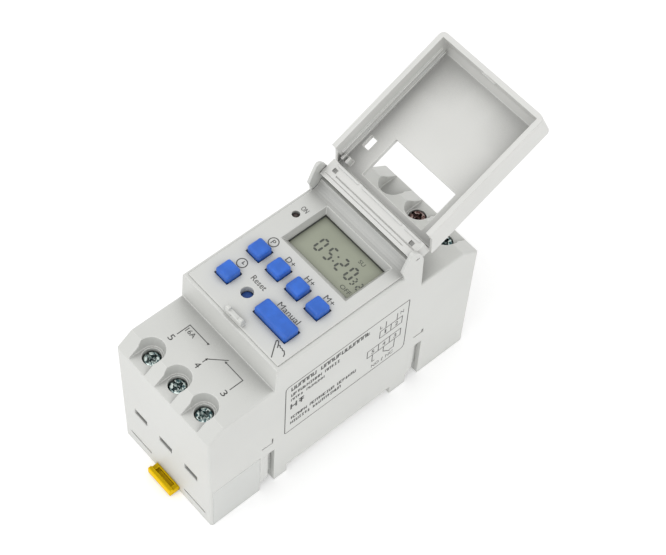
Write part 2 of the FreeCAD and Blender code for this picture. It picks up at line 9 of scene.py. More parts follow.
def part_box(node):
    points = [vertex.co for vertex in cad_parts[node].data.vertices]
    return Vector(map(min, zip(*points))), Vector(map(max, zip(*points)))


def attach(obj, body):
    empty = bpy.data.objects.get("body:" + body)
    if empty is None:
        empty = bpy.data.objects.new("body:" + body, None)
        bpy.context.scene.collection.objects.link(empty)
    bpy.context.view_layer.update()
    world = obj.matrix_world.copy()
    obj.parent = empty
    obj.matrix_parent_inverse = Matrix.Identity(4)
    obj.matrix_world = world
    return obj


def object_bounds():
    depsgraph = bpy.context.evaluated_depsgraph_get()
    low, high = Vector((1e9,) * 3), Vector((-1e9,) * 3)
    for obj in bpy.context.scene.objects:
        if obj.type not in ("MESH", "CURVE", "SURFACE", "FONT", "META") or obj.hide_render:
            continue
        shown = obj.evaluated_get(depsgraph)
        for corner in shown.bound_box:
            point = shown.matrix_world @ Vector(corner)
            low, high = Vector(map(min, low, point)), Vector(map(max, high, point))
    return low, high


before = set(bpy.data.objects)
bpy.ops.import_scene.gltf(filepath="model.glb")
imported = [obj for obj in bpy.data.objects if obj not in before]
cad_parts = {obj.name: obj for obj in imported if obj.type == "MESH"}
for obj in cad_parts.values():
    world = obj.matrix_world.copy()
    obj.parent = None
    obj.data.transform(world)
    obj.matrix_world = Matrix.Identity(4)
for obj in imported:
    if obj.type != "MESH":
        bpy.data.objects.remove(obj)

CAD_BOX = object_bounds()

bl_info = {
    "name": "DIN Rail Timer",
    "version": (1, 0, 0),
    "blender": (4, 5, 0),
    "location": "3D View > Sidebar > Timer",
    "description": "Finishes, printed marks, display and studio for a two-module DIN rail timer",
    "category": "Add Mesh",
}

MM = 0.001
PANEL_TOP = 53.2 * MM          # outer face of the front panel
SHOULDER_TOP = 44.1 * MM       # outer face of the terminal shoulders
SIDE_FACE = 18.0 * MM          # outer face of the side that carries the wiring diagram
INK = 0.025 * MM               # how far printed ink stands above the plastic
SUNK = 0.01 * MM               # how far it reaches below, so that no gap shows
LEGEND_GAP = 3.95 * MM         # from the middle of a key to the middle of its legend
RING_GAP = 4.45 * MM           # from the middle of a key to the middle of its ring symbol
DIGIT_OUT = -33.6              # millimetres along the case to the terminal numbers
BOX_PITCH, BOX_HEIGHT = 3.8, 3.2   # millimetres, of the boxes in the wiring diagram


# ---------------------------------------------------------------- frame measures
def middle(node):
    """Centre of a CAD node's box."""
    low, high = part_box(node)
    return (low + high) / 2


def top_of(node):
    """Height of a CAD node's highest point."""
    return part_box(node)[1].z


# ---------------------------------------------------------------- properties
class TimerPlasticProperties(bpy.types.PropertyGroup):
    case_colour: bpy.props.FloatVectorProperty(
        name="Case", description="Moulded case and front panel", subtype="COLOR", size=3, min=0, max=1,
        default=(0.66, 0.665, 0.64))
    base_colour: bpy.props.FloatVectorProperty(
        name="Base", description="Base housing under the case", subtype="COLOR", size=3, min=0, max=1,
        default=(0.64, 0.65, 0.63))
    lid_colour: bpy.props.FloatVectorProperty(
        name="Lid", description="Hinged cover over the keys", subtype="COLOR", size=3, min=0, max=1,
        default=(0.70, 0.70, 0.675))
    clip_colour: bpy.props.FloatVectorProperty(
        name="Rail clip", description="Sliding rail clip", subtype="COLOR", size=3, min=0, max=1,
        default=(0.95, 0.62, 0.008))
    key_colour: bpy.props.FloatVectorProperty(
        name="Keys", description="Push keys", subtype="COLOR", size=3, min=0, max=1,
        default=(0.028, 0.145, 0.62))
    edge_radius: bpy.props.FloatProperty(
        name="Edge radius", description="Softening of the moulded edges", subtype="DISTANCE", unit="LENGTH",
        default=0.5 * MM, min=0)


class TimerDisplayProperties(bpy.types.PropertyGroup):
    hours: bpy.props.IntProperty(name="Hours", description="Hours shown", default=5, min=0, max=23)
    minutes: bpy.props.IntProperty(name="Minutes", description="Minutes shown", default=20, min=0, max=59)
    seconds: bpy.props.IntProperty(name="Seconds", description="Seconds shown", default=32, min=0, max=59)
    glass_colour: bpy.props.FloatVectorProperty(
        name="Display", description="Display background", subtype="COLOR", size=3, min=0, max=1,
        default=(0.335, 0.355, 0.275))
    digit_height: bpy.props.FloatProperty(
        name="Digit height", description="Height of the hours and minutes", subtype="DISTANCE", unit="LENGTH",
        default=4.55 * MM, min=0)


class TimerInkProperties(bpy.types.PropertyGroup):
    ink_colour: bpy.props.FloatVectorProperty(
        name="Ink", description="Printed marks", subtype="COLOR", size=3, min=0, max=1,
        default=(0.06, 0.06, 0.058))
    line_width: bpy.props.FloatProperty(
        name="Line width", description="Width of the printed lines", subtype="DISTANCE", unit="LENGTH",
        default=0.25 * MM, min=0)


class TimerStageProperties(bpy.types.PropertyGroup):
    floor_colour: bpy.props.FloatVectorProperty(
        name="Floor", description="Pale studio floor", subtype="COLOR", size=3, min=0, max=1,
        default=(0.94, 0.94, 0.94))
    floor_glow: bpy.props.FloatProperty(
        name="Floor glow", description="Light that comes up through the floor, as on a light table",
        default=0.2, min=0)
    sky_strength: bpy.props.FloatProperty(
        name="Sky", description="Even light from all round", default=0.8, min=0)
    key_light: bpy.props.FloatProperty(
        name="Key light", description="Power of the large softbox", unit="POWER", default=2.5, min=0)
    azimuth: bpy.props.FloatProperty(
        name="Azimuth", description="Camera angle round the timer", subtype="ANGLE", unit="ROTATION",
        default=radians(45.5))
    elevation: bpy.props.FloatProperty(
        name="Elevation", description="Camera angle above the horizon", subtype="ANGLE", unit="ROTATION",
        default=radians(56.76))
    roll: bpy.props.FloatProperty(
        name="Roll", description="Camera turn about its own line of sight", subtype="ANGLE", unit="ROTATION",
        default=radians(4.2))
    distance: bpy.props.FloatProperty(
        name="Distance", description="Camera to the point it looks at", subtype="DISTANCE", unit="LENGTH",
        default=0.4662, min=0.01)
    lens: bpy.props.FloatProperty(
        name="Lens", description="Focal length", subtype="DISTANCE_CAMERA", unit="CAMERA",
        default=95.84, min=1)


PROPERTY_GROUPS = {
    "timer_plastic": TimerPlasticProperties,
    "timer_display": TimerDisplayProperties,
    "timer_ink": TimerInkProperties,
    "timer_stage": TimerStageProperties,
}


# ---------------------------------------------------------------- materials
class Value:
    """A number on a node socket. Arithmetic on it adds Math nodes."""

    def __init__(self, finish, socket):
        self.finish = finish
        self.socket = socket

    def math(self, operation, *values):
        made = self.finish.node("ShaderNodeMath", {"operation": operation}, dict(enumerate(values)))
        return Value(self.finish, made.outputs[0])

    def __add__(self, other):
        return self.math("ADD", self, other)

    __radd__ = __add__

    def __sub__(self, other):
        return self.math("SUBTRACT", self, other)

    def __rsub__(self, other):
        return self.math("SUBTRACT", other, self)

    def __mul__(self, other):
        return self.math("MULTIPLY", self, other)

    __rmul__ = __mul__

    def smooth(self, low, high):
        """0 below low, 1 above high, with a soft step between."""
        made = self.finish.node("ShaderNodeMapRange", {"interpolation_type": "SMOOTHSTEP"},
                                {0: self, 1: low, 2: high, 3: 0.0, 4: 1.0})
        return Value(self.finish, made.outputs[0])


class Finish:
    """A material and the calls that fill its node tree."""

    def __init__(self, name, **uniform):
        self.material = bpy.data.materials.new(name)
        self.material.use_nodes = True
        self.tree = self.material.node_tree
        self.tree.nodes.clear()
        self.shader = self.node("ShaderNodeBsdfPrincipled")
        self.set(**uniform)
        self.node("ShaderNodeOutputMaterial", {}, {"Surface": self.shader.outputs[0]})
        coordinates = self.node("ShaderNodeTexCoord").outputs
        self.place, self.direction = coordinates["Object"], coordinates["Normal"]

    def node(self, kind, settings=None, sockets=None):
        """Add a node, apply its settings, then its socket values or links."""
        made = self.tree.nodes.new(kind)
        for key, value in (settings or {}).items():
            setattr(made, key, value)
        for key, value in (sockets or {}).items():
            self.feed(made.inputs[key], value)
        return made

    def feed(self, socket, value):
        if isinstance(value, Value):
            value = value.socket
        if isinstance(value, bpy.types.NodeSocket):
            self.tree.links.new(value, socket)
        elif socket.type == "RGBA" and len(value) == 3:
            socket.default_value = (*value, 1.0)
        else:
            socket.default_value = value

    def set(self, **sockets):
        """Feed the shader. An underscore in a name stands for a space."""
        for key, value in sockets.items():
            self.feed(self.shader.inputs[key.replace("_", " ")], value)
        return self.material

    def mapping(self, scale=(1, 1, 1), turn=(0, 0, 0)):
        sockets = {"Vector": self.place, "Scale": scale, "Rotation": turn}
        return self.node("ShaderNodeMapping", {}, sockets).outputs[0]

    def noise(self, size, detail=2.0, rough=0.5, where=None):
        """Soft noise whose patches are about size metres across."""
        made = self.node("ShaderNodeTexNoise", {}, {"Vector": where or self.place, "Scale": 1 / size,
                                                    "Detail": detail, "Roughness": rough})
        return Value(self, made.outputs[0])

    def cells(self, size):
        """Distance from the nearest of scattered points about size metres apart."""
        made = self.node("ShaderNodeTexVoronoi", {}, {"Vector": self.place, "Scale": 1 / size})
        return Value(self, made.outputs[0])

    def mix(self, share, first, second):
        made = self.node("ShaderNodeMix", {"data_type": "RGBA", "clamp_factor": True},
                         {0: share, 6: first, 7: second})
        return made.outputs[2]

    def soft_edges(self, radius):
        """(normal rounded over radius, mask of the edges)."""
        rounded = self.node("ShaderNodeBevel", {"samples": 6}, {"Radius": radius}).outputs[0]
        flat = self.node("ShaderNodeNewGeometry").outputs["Normal"]
        match = self.node("ShaderNodeVectorMath", {"operation": "DOT_PRODUCT"}, {0: rounded, 1: flat})
        return rounded, (1 - Value(self, match.outputs["Value"])).smooth(0.004, 0.12)

    def hollows(self, reach):
        """1 in the open and towards 0 in corners and holes."""
        made = self.node("ShaderNodeAmbientOcclusion", {"samples": 12, "only_local": False},
                         {"Distance": reach})
        return Value(self, made.outputs["AO"])

    def facing_up(self):
        """1 where the surface looks up at rest and 0 where it stands upright or looks down."""
        parts = self.node("ShaderNodeSeparateXYZ", {}, {0: self.direction})
        return Value(self, parts.outputs[2]).smooth(0.0, 0.75)

    def bump(self, height, depth, strength=1.0, normal=None):
        sockets = {"Height": height, "Distance": depth, "Strength": strength}
        if normal is not None:
            sockets["Normal"] = normal
        return self.node("ShaderNodeBump", {}, sockets).outputs[0]


def shade(colour, factor):
    return tuple(min(1.0, c * factor) for c in colour)


def moulded_plastic(name, colour, edge_radius, rough=0.42, edge_highlight=1.3, corner_shade=0.3, gloss=0.5):
    """Injection-moulded plastic: fine spark texture, faint flow clouding, a painted highlight on the edges,
    painted shade in hollows and on sheltered upward faces.

    gloss is the specular level, edge_highlight how much lighter the painted highlight on the edges is and
    corner_shade how dark the painted shade in the corners is.
    """
    finish = Finish(name, IOR=1.52, Specular_IOR_Level=gloss)
    cloud = finish.noise(22 * MM, 3.0)
    flow = finish.noise(6 * MM, 4.0, 0.6, finish.mapping((1.0, 0.25, 1.0)))
    spark = finish.noise(0.14 * MM, 2.0, 0.65)
    specks = finish.cells(2.4 * MM).smooth(0.02, 0.07)
    rounded, edges = finish.soft_edges(edge_radius)
    open_near = finish.hollows(2.2 * MM)
    # Masks for painted shade: holes and slots, and upward faces that walls and overhangs stand over.
    deep_shade = (1 - open_near).smooth(0.5, 0.85)
    sheltered_shade = (1 - finish.hollows(14 * MM)).smooth(0.05, 0.5) * open_near.smooth(0.2, 0.7)
    sheltered_shade = sheltered_shade * finish.facing_up()
    body = finish.mix(cloud.smooth(0.3, 0.7), shade(colour, 0.975), shade(colour, 1.02))
    body = finish.mix((flow - 0.5) * 0.35 + 0.2, body, shade(colour, 0.95))
    body = finish.mix((1 - specks) * 0.10, body, shade(colour, 0.72))
    # Painted shade on sheltered upward faces.
    body = finish.mix(sheltered_shade * 0.8, body, shade(colour, 0.4))
    # Painted shade in corners and gaps.
    body = finish.mix((1 - open_near) * corner_shade, body, shade(colour, 0.5))
    # Painted shade, darkest of all, in holes and slots.
    body = finish.mix(deep_shade * 0.7, body, shade(colour, 0.18))
    # Painted highlight: the edges are made lighter.
    body = finish.mix(edges * 0.9, body, shade(colour, edge_highlight))
    roughness = rough + (spark - 0.5) * 0.16 + (cloud - 0.5) * 0.10 - edges * 0.08
    return finish.set(Base_Color=body, Roughness=roughness,
                      Normal=finish.bump(spark, 0.012 * MM, 0.5, rounded))


def key_plastic(name, colour, edge_radius):
    """Satin blue key: cloudy tone and roughness, a painted highlight on the rim and painted shade in its
    corners.
    """
    finish = Finish(name, IOR=1.5)
    finish.set(Subsurface_Weight=0.12, Subsurface_Scale=0.6 * MM, Subsurface_Radius=(0.2, 0.45, 1.0))
    cloud = finish.noise(3.5 * MM, 3.0)
    spark = finish.noise(0.11 * MM, 2.0, 0.6)
    rounded, edges = finish.soft_edges(edge_radius)
    corners = finish.hollows(1.2 * MM)
    body = finish.mix(cloud.smooth(0.25, 0.75), shade(colour, 0.86), shade(colour, 1.12))
    # Painted highlight: the rim is made paler.
    body = finish.mix(edges * 0.45, body, tuple(0.8 * c + 0.12 for c in colour))
    # Painted shade in corners and gaps round the key.
    body = finish.mix((1 - corners) * 0.8, body, shade(colour, 0.30))
    return finish.set(Base_Color=body, Roughness=0.36 + (cloud - 0.5) * 0.16 + (spark - 0.5) * 0.1,
                      Normal=finish.bump(spark, 0.008 * MM, 0.5, rounded))


def plated_metal(name, colour, stain_and_dark_reflection, rough=0.26):
    """Plated steel or brass: patches of the passivation film, fine scratches, a painted glint along the edges
    and painted shade in the hollows.
    """
    finish = Finish(name, Metallic=1.0)
    film = finish.noise(0.75 * MM, 3.0, 0.6)
    fine = finish.noise(0.25 * MM, 4.0, 0.7)
    scratch = finish.noise(0.5 * MM, 5.0, 0.7, finish.mapping((1.0, 9.0, 1.0), (0, 0, radians(35))))
    rounded, edges = finish.soft_edges(0.12 * MM)
    corners = finish.hollows(1.0 * MM)
    # Patches of the passivation film. Where the two colours differ strongly, as on the screws, the bright
    # patches are partly painted glints and the dark ones partly painted dark reflection.
    body = finish.mix(film.smooth(0.44, 0.58), stain_and_dark_reflection, colour)
    # Painted glint: the edges are made lighter.
    body = finish.mix(edges * 0.6, body, shade(colour, 1.4))
    # Painted shade in the hollows.
    body = finish.mix((1 - corners) * 0.85, body, shade(stain_and_dark_reflection, 0.2))
    return finish.set(Base_Color=body, Roughness=rough + (fine - 0.5) * 0.22 + (scratch - 0.5) * 0.15,
                      Normal=finish.bump(scratch + fine, 0.015 * MM, 0.8, rounded))


def printed_ink(name, colour):
    """Pad-printed ink: slightly uneven cover."""
    finish = Finish(name)
    cover = finish.noise(0.35 * MM, 3.0, 0.6)
    body = finish.mix(cover.smooth(0.25, 0.8), shade(colour, 0.8), shade(colour, 1.5))
    return finish.set(Base_Color=body, Roughness=0.55 + (cover - 0.5) * 0.2,
                      Normal=finish.bump(cover, 0.006 * MM, 0.5))


def display_glass(name, colour):
    """Reflective liquid crystal cell behind polished glass."""
    finish = Finish(name, IOR=1.5, Coat_Roughness=0.06)
    mottle = finish.noise(5 * MM, 2.0)
    weave = finish.noise(0.12 * MM, 2.0, 0.6)
    corners = finish.hollows(2.4 * MM)
    body = finish.mix(mottle.smooth(0.3, 0.7), shade(colour, 0.97), shade(colour, 1.03))
    body = finish.mix((weave - 0.4) * 0.25, body, shade(colour, 0.86))
    # Painted shade along the edges of the display, under the walls of its window.
    body = finish.mix((1 - corners) * 0.9, body, shade(colour, 0.30))
    return finish.set(Base_Color=body, Roughness=0.30 + (weave - 0.5) * 0.08, Coat_Weight=0.35)


def tinted_resin(name, colour):
    """Diffused resin of the indicator."""
    finish = Finish(name, IOR=1.5)
    swirl = finish.noise(0.8 * MM, 2.0)
    body = finish.mix(swirl, shade(colour, 0.8), shade(colour, 1.2))
    return finish.set(Base_Color=body, Roughness=0.18 + (swirl - 0.5) * 0.1)


def board_laminate(name, colour):
    """Glass-epoxy board under green resist with its copper tracks showing through."""
    finish = Finish(name)
    weave = finish.noise(0.35 * MM, 3.0, 0.6)
    tracks = finish.node("ShaderNodeTexBrick", {"offset": 0.37, "squash": 0.7, "squash_frequency": 3}, {
        "Vector": finish.mapping((1, 1, 1), (0, 0, radians(90))), "Scale": 1 / (2.54 * MM),
        "Mortar Size": 0.09, "Brick Width": 2.2, "Row Height": 0.5})
    track = Value(finish, tracks.outputs["Fac"])
    body = finish.mix(weave.smooth(0.3, 0.7), shade(colour, 0.9), shade(colour, 1.1))
    body = finish.mix(track * 0.6, body, tuple(0.5 * c + g for c, g in zip(colour, (0.10, 0.16, 0.06))))
    return finish.set(Base_Color=body, Roughness=0.34 + (weave - 0.5) * 0.15,
                      Normal=finish.bump(track + weave * 0.2, 0.02 * MM, 0.6))


def plain_shell(name, colour, rough, coat=0.0):
    """Sleeve, epoxy or rubber of the small components."""
    finish = Finish(name, Coat_Weight=coat)
    cloud = finish.noise(4 * MM, 3.0)
    spark = finish.noise(0.3 * MM, 3.0, 0.6)
    body = finish.mix(cloud.smooth(0.3, 0.7), shade(colour, 0.88), shade(colour, 1.1))
    return finish.set(Base_Color=body, Roughness=rough + (spark - 0.5) * 0.2,
                      Normal=finish.bump(spark, 0.02 * MM, 0.6))


def studio_floor(name, colour, glow):
    """Matt white sheet, lit a little from below."""
    finish = Finish(name, Emission_Color=(1, 1, 1), Emission_Strength=glow)
    tone = finish.noise(90 * MM, 3.0)
    grain = finish.noise(1.2 * MM, 2.0)
    return finish.set(Base_Color=finish.mix(tone, shade(colour, 0.99), shade(colour, 1.01)), Roughness=0.7,
                      Normal=finish.bump(grain, 0.01 * MM, 0.2))


def coat_node(material, *nodes):
    """Give CAD nodes a material."""
    for name in nodes:
        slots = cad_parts[name].material_slots
        for slot in slots:
            slot.material = material


# ---------------------------------------------------------------- mesh helpers
def piece(name, bm, body, material):
    """Turn a bmesh into an object that rides on a body."""
    mesh = bpy.data.meshes.new(name)
    bm.to_mesh(mesh)
    bm.free()
    made = bpy.data.objects.new(name, mesh)
    bpy.context.scene.collection.objects.link(made)
    mesh.materials.append(material)
    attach(made, body)
    return made


def flat_on_top(height):
    """Drawing plane on a face that looks up: x across, y along the case."""
    return Matrix.Translation((0, 0, height))


def flat_on_side(offset):
    """Drawing plane on the +X side: its x runs along the case and its y runs up."""
    turn = Matrix(((0, 0, 1), (1, 0, 0), (0, 1, 0))).to_4x4()
    return Matrix.Translation((offset, 0, 0)) @ turn


def print_piece(name, bm, plane, material):
    """Thicken flat faces drawn in z = 0 into ink on a plane of the case."""
    bmesh.ops.remove_doubles(bm, verts=bm.verts, dist=1e-7)
    bmesh.ops.translate(bm, verts=bm.verts, vec=(0, 0, -SUNK))
    grown = bmesh.ops.extrude_face_region(bm, geom=bm.faces[:])
    lifted = [v for v in grown["geom"] if isinstance(v, bmesh.types.BMVert)]
    bmesh.ops.translate(bm, verts=lifted, vec=(0, 0, SUNK + INK))
    bmesh.ops.recalc_face_normals(bm, faces=bm.faces)
    bmesh.ops.transform(bm, matrix=plane, verts=bm.verts)
    return piece(name, bm, "case", material)


def add_polygon(bm, points):
    corners = [bm.verts.new((x, y, 0)) for x, y in points]
    bmesh.ops.contextual_create(bm, geom=corners)


def add_line(bm, points, width, closed=False):
    """Draw a mitred line in the plane z = 0: one short edge, extruded from point to point."""
    spots = [Vector(p) for p in points]
    last = len(spots) - 1
    ends = []
    for i, spot in enumerate(spots):
        before = spot - spots[i - 1] if i > 0 or closed else spots[1] - spot
        after = spots[(i + 1) % len(spots)] - spot if i < last or closed else before
        one, two = before.normalized(), after.normalized()
        across = Vector((-(one + two).y, (one + two).x)).normalized()
        reach = width / 2 / max(0.3, across.dot(Vector((-one.y, one.x))))
        ends.append(((spot + across * reach).to_3d(), (spot - across * reach).to_3d()))
    if closed:
        ends.append(ends[0])
    edge = bm.edges.new([bm.verts.new(end) for end in ends[0]])
    for (left, right), (next_left, next_right) in zip(ends, ends[1:]):
        grown = bmesh.ops.extrude_edge_only(bm, edges=[edge])["geom"]
        moved = [v for v in grown if isinstance(v, bmesh.types.BMVert)]
        for v in moved:
            v.co = next_left if (v.co - left).length < (v.co - right).length else next_right
        edge = next(e for e in grown
                    if isinstance(e, bmesh.types.BMEdge) and set(e.verts) == set(moved))


def add_disc(bm, centre, radius):
    place = Matrix.Translation((*centre, 0))
    bmesh.ops.create_circle(bm, cap_ends=True, segments=12, radius=radius, matrix=place)


def arc(centre, radius, start, end, steps):
    """Points of an arc between two angles in degrees."""
    return [(centre[0] + radius * cos(radians(start + (end - start) * i / steps)),
             centre[1] + radius * sin(radians(start + (end - start) * i / steps)))
            for i in range(steps + 1)]


def add_words(bm, words, centre, width, height):
    """Write words to a given width and height about a centre."""
    curve = bpy.data.curves.new("words", "FONT")
    curve.body = words
    curve.resolution_u = 4
    holder = bpy.data.objects.new("words", curve)
    flat = bpy.data.meshes.new_from_object(holder)
    low = Vector(map(min, *(v.co for v in flat.vertices)))
    high = Vector(map(max, *(v.co for v in flat.vertices)))
    size = high - low
    fit = Matrix.Diagonal((width / size.x, height / size.y, 1, 1))
    flat.transform(Matrix.Translation((*centre, 0)) @ fit @ Matrix.Translation(-(low + high) / 2))
    bm.from_mesh(flat)
    bpy.data.objects.remove(holder)
    bpy.data.meshes.remove(flat)


def rounded_box(x0, x1, y0, y1, radii, steps=6):
    """Outline with its own radius at each corner, from the lower left, anticlockwise."""
    corners = [(x0, y0, 180), (x1, y0, 270), (x1, y1, 0), (x0, y1, 90)]
    points = []
    for (x, y, start), r in zip(corners, radii):
        cx = x + r if x == x0 else x - r
        cy = y + r if y == y0 else y - r
        points += arc((cx, cy), r, start, start + 90, steps)
    return points


# ---------------------------------------------------------------- display digits
LIT = {0: "abcdef", 1: "bc", 2: "abged", 3: "abgcd", 4: "fgbc", 5: "afgcd", 6: "afgedc", 7: "abc",
       8: "abcdefg", 9: "abcdfg"}


def add_segment(bm, start, end, width):
    """One bar of a digit, with pointed ends and a gap to its neighbours."""
    a, b = Vector(start), Vector(end)
    run = (b - a).normalized()
    side = Vector((-run.y, run.x)) * width / 2
    a, b = a + run * width * 0.3, b - run * width * 0.3
    tip = run * width / 2
    add_polygon(bm, [a, a + tip + side, b - tip + side, b, b - tip - side, a + tip - side])


def add_digit(bm, digit, corner, width, height, bar):
    """Seven-bar digit whose lower left corner is given."""
    x, y = corner
    low, mid, top = y + bar / 2, y + height / 2, y + height - bar / 2
    left, right = x + bar / 2, x + width - bar / 2
    bars = {"a": ((left, top), (right, top)), "b": ((right, mid), (right, top)),
            "c": ((right, low), (right, mid)), "d": ((left, low), (right, low)),
            "e": ((left, low), (left, mid)), "f": ((left, mid), (left, top)),
            "g": ((left, mid), (right, mid))}
    for name in LIT[digit]:
        add_segment(bm, *bars[name], bar)


# ---------------------------------------------------------------- operators
class TIMER_OT_plastics(bpy.types.Operator):
    """Finish the case, the base, the lid, the front panel and the rail clip"""
    bl_idname = "timer.plastics"
    bl_label = "Moulded Plastics"

    def execute(self, context):
        want = context.scene.timer_plastic
        radius = want.edge_radius
        coat_node(moulded_plastic("case_plastic", want.case_colour, radius), "upper_case", "front_panel")
        coat_node(moulded_plastic("base_plastic", want.base_colour, radius, rough=0.46), "base_housing")
        coat_node(moulded_plastic("lid_plastic", want.lid_colour, radius, rough=0.38), "lid_cover")
        # The clip gets a weaker painted highlight on its edges and darker painted shade in its corners.
        coat_node(moulded_plastic("clip_plastic", want.clip_colour, radius, rough=0.5, edge_highlight=1.1, corner_shade=0.6,
                                  gloss=0.03),
                  "rail_clip")
        return {"FINISHED"}


class TIMER_OT_keys(bpy.types.Operator):
    """Finish the seven keys"""
    bl_idname = "timer.keys"
    bl_label = "Keys"

    def execute(self, context):
        want = context.scene.timer_plastic
        coat_node(key_plastic("key_blue", want.key_colour, 0.45 * MM), "program_key", "day_key", "hour_key",
                  "minute_key", "clock_key", "manual_key")
        # The reset key is sunk in its hole: it gets the key blue darkened, as painted shade.
        coat_node(key_plastic("reset_blue_shaded", shade(want.key_colour, 0.45), 0.2 * MM), "reset_key")
        return {"FINISHED"}


class TIMER_OT_display(bpy.types.Operator):
    """Finish the display and draw its characters, and finish the indicator"""
    bl_idname = "timer.display"
    bl_label = "Display and Indicator"

    def execute(self, context):
        want = context.scene.timer_display
        coat_node(display_glass("display_glass", want.glass_colour), "lcd_glass")
        # The frame's dark grey is partly its own colour and partly painted shade for the dark band round the
        # display.
        coat_node(moulded_plastic("bezel_grey", (0.085, 0.088, 0.085), 0.1 * MM, rough=0.6), "lcd_frame")
        coat_node(plain_shell("zebra_rubber", (0.30, 0.12, 0.14), 0.6), "zebra_strips")
        coat_node(tinted_resin("indicator_red", (0.045, 0.028, 0.026)), "indicator_led")
        segments = printed_ink("display_segments", (0.075, 0.08, 0.07))
        plane = flat_on_top(top_of("lcd_glass"))
        self.time(want, plane, segments)
        self.flags(plane, segments)
        return {"FINISHED"}

    def time(self, want, plane, material):
        """Hours and minutes with a colon between them, then the smaller seconds."""
        height = want.digit_height
        width, pitch, bar = 0.5 * height, 0.78 * height, 0.125 * height
        left, low = middle("lcd_glass").x - 6.4 * MM, middle("lcd_glass").y - 2.65 * MM
        colon = 0.14 * height
        bm = bmesh.new()
        for place, digit in enumerate((*divmod(want.hours, 10), *divmod(want.minutes, 10))):
            x = left + place * pitch + (colon if place > 1 else 0)
            add_digit(bm, digit, (x, low), width, height, bar)
        for share in (0.3, 0.7):
            add_disc(bm, (left + 2 * pitch - 0.1 * height, low + share * height), 0.06 * height)
        for place, digit in enumerate(divmod(want.seconds, 10)):
            x = left + 4 * pitch + colon - 0.228 * height + 0.47 * place * height
            add_digit(bm, digit, (x, low), 0.30 * height, 0.57 * height, 0.09 * height)
        print_piece("display_time", bm, plane, material)

    def flags(self, plane, material):
        centre = middle("lcd_glass").xy
        bm = bmesh.new()
        add_words(bm, "OFF", centre + Vector((8.6, -4.5)) * MM, 3.4 * MM, 1.2 * MM)
        add_words(bm, "SU", centre + Vector((5.4, 3.8)) * MM, 2.0 * MM, 1.1 * MM)
        print_piece("display_flags", bm, plane, material)


class TIMER_OT_legends(bpy.types.Operator):
    """Print the legends of the front panel"""
    bl_idname = "timer.legends"
    bl_label = "Panel Legends"

    def execute(self, context):
        want = context.scene.timer_ink
        ink = printed_ink("panel_ink", want.ink_colour)
        plane = flat_on_top(PANEL_TOP)
        bm = bmesh.new()
        add_words(bm, "ON", Vector((-13.4, 12.1)) * MM, 2.0 * MM, 1.4 * MM)
        print_piece("legend_on", bm, plane, ink)
        # legend, shift along x, width and height in millimetres
        words = {"day": ("D+", 0, 2.9, 1.55), "hour": ("H+", 0, 2.9, 1.55), "minute": ("M+", 0, 3.1, 1.55),
                 "reset": ("Reset", -0.2, 4.9, 1.6), "manual": ("Manual", 0.1, 7.4, 1.6)}
        for key, (text, shift, width, height) in words.items():
            bm = bmesh.new()
            centre = middle(key + "_key").xy + Vector((shift * MM, LEGEND_GAP))
            add_words(bm, text, centre, width * MM, height * MM)
            print_piece("legend_" + key, bm, plane, ink)
        for key, shift, letter in (("clock", -0.1, None), ("program", 0.1, "P")):
            centre = middle(key + "_key").xy + Vector((shift * MM, RING_GAP))
            self.ring("icon_" + key, centre, plane, ink, want.line_width, letter)
        self.hand(plane, ink, want.line_width)
        return {"FINISHED"}

    def ring(self, name, centre, plane, ink, width, letter):
        """A ring with a letter in it, or with the two hands of a clock."""
        bm = bmesh.new()
        add_line(bm, arc(centre, 1.35 * MM, 0, 352, 44), width, closed=True)
        if letter:
            add_words(bm, letter, centre, 0.95 * MM, 1.35 * MM)
        else:
            hub = Vector(centre)
            tips = [hub + Vector((0.05, 0.8)) * MM, hub, hub + Vector((0.62, 0.05)) * MM]
            add_line(bm, tips, width)
        print_piece(name, bm, plane, ink)

    def hand(self, plane, ink, width):
        """Pointing hand beside the manual key."""
        knuckles = [(14.2, -22.0), (12.2, -19.3), (11.4, -18.1), (11.5, -17.75), (12.0, -17.85),
                    (12.6, -18.5), (13.0, -18.3), (13.5, -18.6), (13.95, -18.45), (14.45, -18.7),
                    (14.75, -18.5), (15.5, -19.0), (15.85, -19.7)]
        thumb = [(12.6, -18.5), (13.1, -19.2)]
        bm = bmesh.new()
        for line in (knuckles, thumb):
            add_line(bm, [(x * MM, y * MM) for x, y in line], width)
        print_piece("icon_hand", bm, plane, ink)


class TIMER_OT_terminal_marks(bpy.types.Operator):
    """Print the terminal numbers and the changeover contact on the front shoulder"""
    bl_idname = "timer.terminal_marks"
    bl_label = "Terminal Marks"

    def execute(self, context):
        want = context.scene.timer_ink
        ink = printed_ink("shoulder_ink", want.ink_colour)
        plane = flat_on_top(SHOULDER_TOP)
        width = want.line_width * 0.85
        bm = bmesh.new()
        for digit in "543":
            x = middle("screw_" + digit).x
            add_words(bm, digit, (x + 0.35 * MM, DIGIT_OUT * MM), 1.25 * MM, 1.8 * MM)
        print_piece("terminal_numbers", bm, plane, ink)
        x5, x4, x3 = (middle("screw_" + digit).x / MM for digit in "543")
        lines = [
            [(x5 + 0.5, -32.0), (x5 + 0.5, -27.9), (-2.6, -27.9)],
            [(x4 + 0.5, -32.2), (x4 + 0.5, -30.8), (4.2, -27.0)],
            [(4.4, -27.9), (x3 + 0.5, -27.9), (x3 + 0.5, -32.0)],
        ]
        bm = bmesh.new()
        for line in lines:
            add_line(bm, [(x * MM, y * MM) for x, y in line], width)
        for x, y, turn in ((-2.6, -27.9, -90), (x4 + 0.5, -30.9, 90), (4.2, -27.9, 180)):
            add_polygon(bm, arc((x * MM, y * MM), 0.42 * MM, turn, turn + 240, 2))
        print_piece("contact_diagram", bm, plane, ink)
        bm = bmesh.new()
        add_words(bm, "16A", (-7.75 * MM, -29.2 * MM), 3.0 * MM, 1.4 * MM)
        print_piece("contact_rating", bm, plane, ink)
        return {"FINISHED"}


